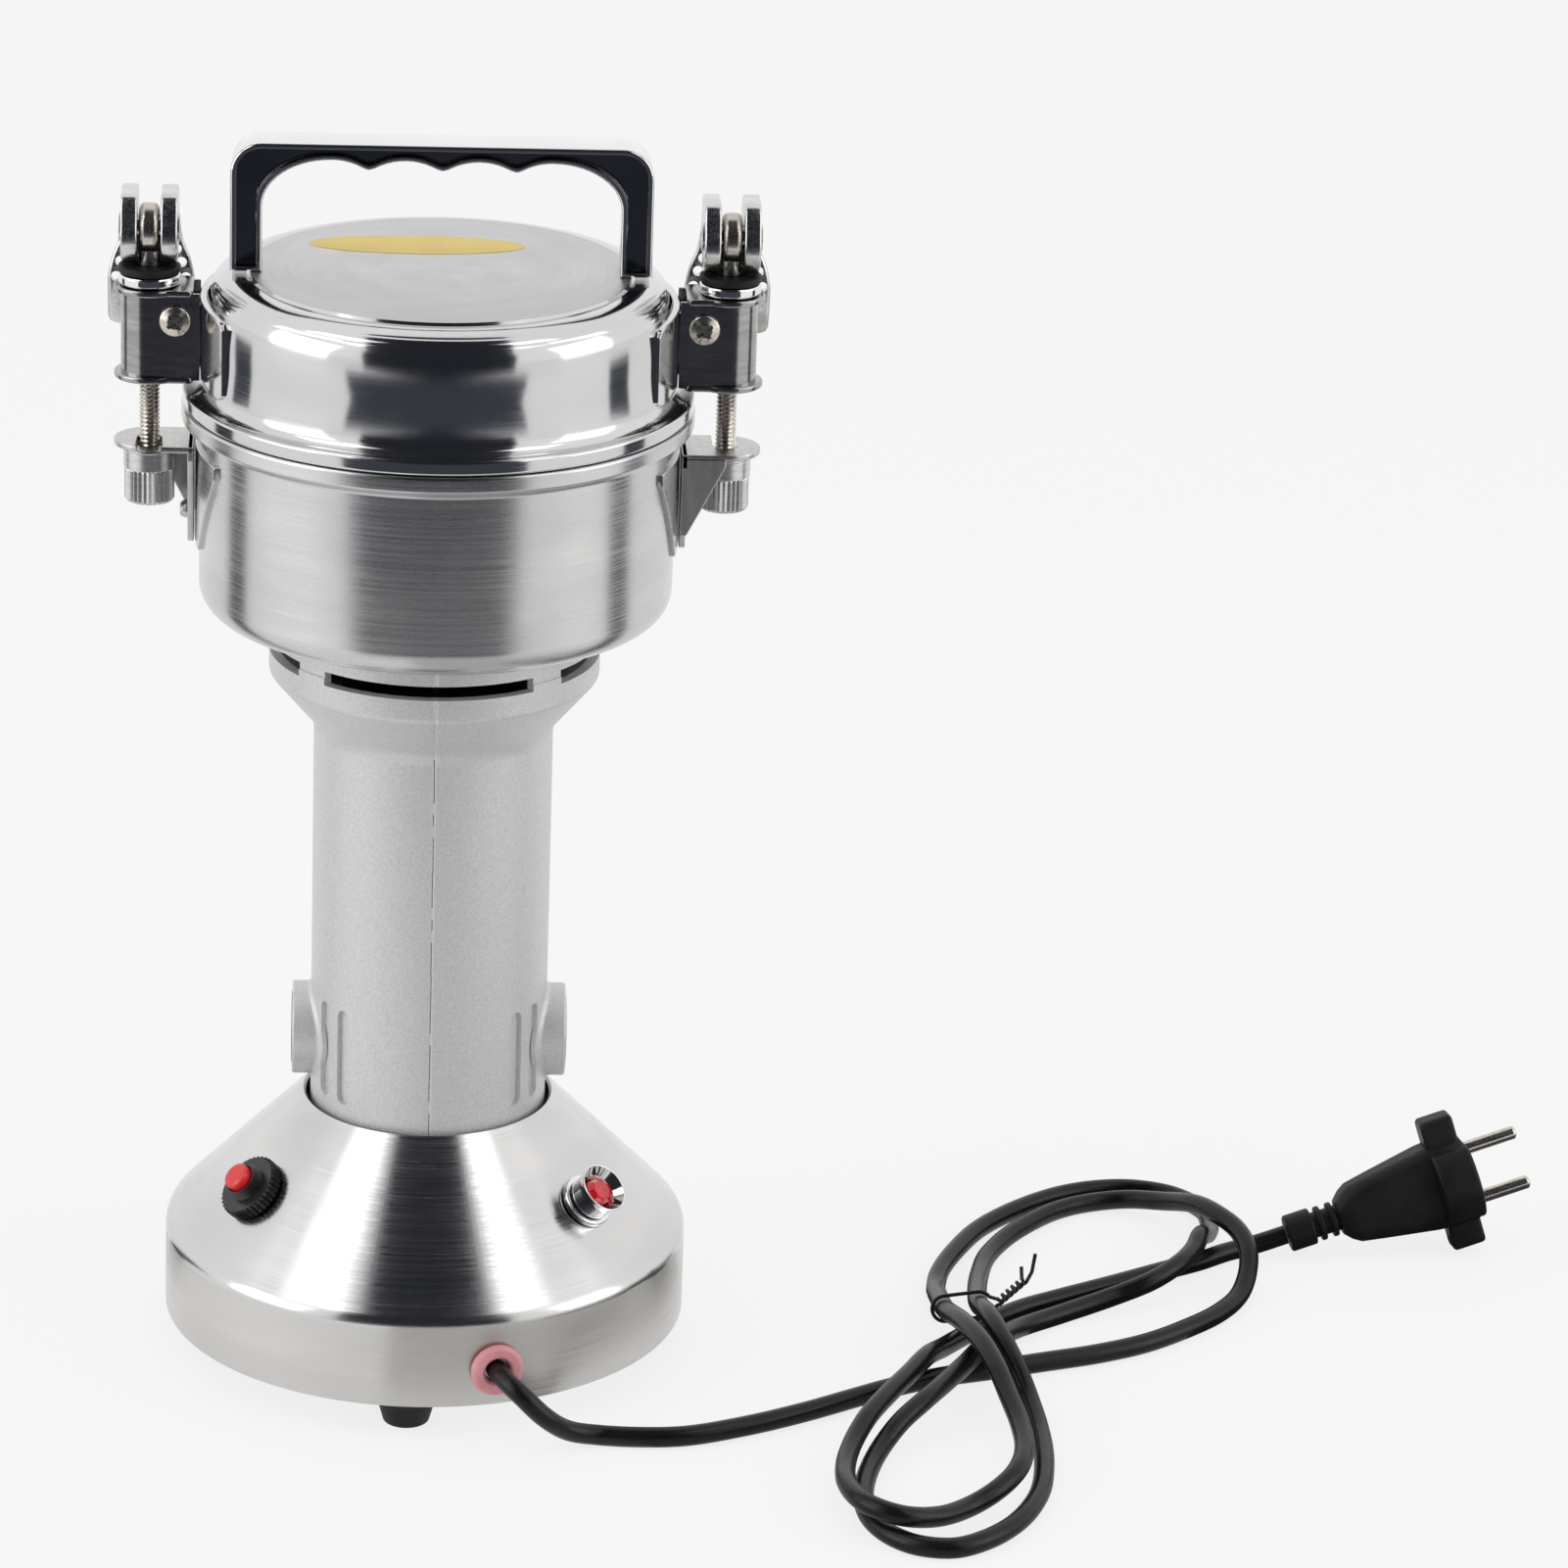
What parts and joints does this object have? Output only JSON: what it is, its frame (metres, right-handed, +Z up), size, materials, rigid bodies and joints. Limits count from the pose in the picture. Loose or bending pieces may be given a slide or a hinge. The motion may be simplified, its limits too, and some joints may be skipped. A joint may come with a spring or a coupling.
{
  "type": "electric coffee grinder",
  "caption": "Tall swing mill: round base, motor tube, steel cup with blades under a handled lid that cam clamps hold down, reset button, lamp, rocker and corded plug.",
  "frame": {"origin": "on the floor under the motor shaft, at the centre of the base", "axes": "+Z up along the shaft, -Y to the front, +X to the right, the side that the cord lies on"},
  "size_m": [0.4982, 0.2866, 0.4155],
  "materials": {
    "stainless": "satin, turned",
    "chrome": "mirror",
    "cast_alloy": "matt, sprayed",
    "steel": "bare",
    "copper": "varnished wire",
    "carbon": "matt",
    "black_plastic": "moulded",
    "black_rubber": "matt",
    "black_vinyl": "smooth",
    "red_plastic": "gloss",
    "pink_rubber": "soft",
    "grey_rubber": "soft"
  },
  "bodies": {
    "base": {"base_shell": "stainless", "bottom_plate": "steel", "foot_front": "black_rubber", "foot_right": "black_rubber", "foot_back": "black_rubber", "foot_left": "black_rubber", "motor_housing": "cast_alloy", "end_bracket": "cast_alloy", "lower_bearing": "steel", "upper_bearing": "steel", "stator_core": "steel", "field_coil_front": "copper", "field_coil_back": "copper", "carbon_brush_left": "carbon", "carbon_brush_right": "carbon", "brush_cap_left": "black_plastic", "brush_cap_right": "black_plastic", "grinding_cup": "stainless", "clamp_bracket_left": "stainless", "clamp_bracket_right": "stainless", "fuse_holder": "black_plastic", "lamp_bezel": "chrome", "lamp_lens": "red_plastic", "switch_frame": "black_plastic", "cord_grommet": "pink_rubber", "power_cord": "black_vinyl", "cord_tie": "black_vinyl", "plug_body": "black_vinyl", "plug_pin_upper": "chrome", "plug_pin_lower": "chrome"},
    "rotor": {"motor_shaft": "steel", "armature_core": "steel", "armature_winding": "copper", "commutator": "copper", "cooling_fan": "cast_alloy", "main_blade": "stainless", "upper_blade": "stainless", "blade_spacer": "stainless", "blade_nut": "stainless"},
    "gasket": {"lid_gasket": "grey_rubber"},
    "lid": {"lid_shell": "stainless", "lid_handle": "chrome", "clamp_box_left": "stainless", "clamp_box_right": "stainless", "box_screw_left": "chrome", "box_screw_right": "chrome", "rubber_washer_left": "black_rubber", "rubber_washer_right": "black_rubber", "chrome_washer_left": "chrome", "chrome_washer_right": "chrome"},
    "bolt_left": {"eyebolt_left": "steel"},
    "bolt_right": {"eyebolt_right": "steel"},
    "lever_left": {"cam_lever_left": "chrome", "lever_pin_left": "chrome"},
    "lever_right": {"cam_lever_right": "chrome", "lever_pin_right": "chrome"},
    "nut_left": {"knurled_nut_left": "cast_alloy"},
    "nut_right": {"knurled_nut_right": "cast_alloy"},
    "button": {"reset_button": "red_plastic"},
    "rocker": {"switch_rocker": "black_plastic"}
  },
  "joints": [
    {"name": "rotor_spin", "type": "hinge", "parent": "base", "child": "rotor", "pos_m": [0, 0, 0], "axis": [0, 0, 1], "continuous": true},
    {"name": "lid_twist", "type": "hinge", "parent": "base", "child": "gasket", "pos_m": [0, 0, 0], "axis": [0, 0, 1], "range_deg": [0, 20]},
    {"name": "lid_lift", "type": "slide", "parent": "gasket", "child": "lid", "axis": [0, 0, 1], "range_m": [0, 0.012]},
    {"name": "eyebolt_drop_left", "type": "slide", "parent": "lid", "child": "bolt_left", "axis": [0, 0, -1], "range_m": [0, 0.0026]},
    {"name": "eyebolt_drop_right", "type": "slide", "parent": "lid", "child": "bolt_right", "axis": [0, 0, -1], "range_m": [0, 0.0026]},
    {"name": "cam_lever_left", "type": "hinge", "parent": "bolt_left", "child": "lever_left", "pos_m": [-0.093, 0, 0.3854], "axis": [1, 0, 0], "range_deg": [0, 110]},
    {"name": "cam_lever_right", "type": "hinge", "parent": "bolt_right", "child": "lever_right", "pos_m": [0.093, 0, 0.3854], "axis": [1, 0, 0], "range_deg": [0, 110]},
    {"name": "nut_travel_left", "type": "slide", "parent": "bolt_left", "child": "nut_left", "axis": [0, 0, 1], "range_m": [-0.012, 0]},
    {"name": "nut_travel_right", "type": "slide", "parent": "bolt_right", "child": "nut_right", "axis": [0, 0, 1], "range_m": [-0.012, 0]},
    {"name": "reset_push", "type": "slide", "parent": "base", "child": "button", "axis": [0.617, 0.3562, -0.7018], "range_m": [0, 0.0025], "stiffness_N_per_m": 600, "springref_m": -0.0006},
    {"name": "power_rocker", "type": "hinge", "parent": "base", "child": "rocker", "pos_m": [0, 0.06688, 0.06549], "axis": [1, 0, 0], "range_deg": [0, 18]}
  ],
  "couplings": [
    {"joint": "eyebolt_drop_left", "follows": "cam_lever_left", "m_per_rad": 0.001354},
    {"joint": "eyebolt_drop_right", "follows": "cam_lever_right", "m_per_rad": 0.001354},
    {"joint": "nut_travel_left", "follows": "lid_lift", "ratio": -1},
    {"joint": "nut_travel_right", "follows": "lid_lift", "ratio": -1}
  ]
}
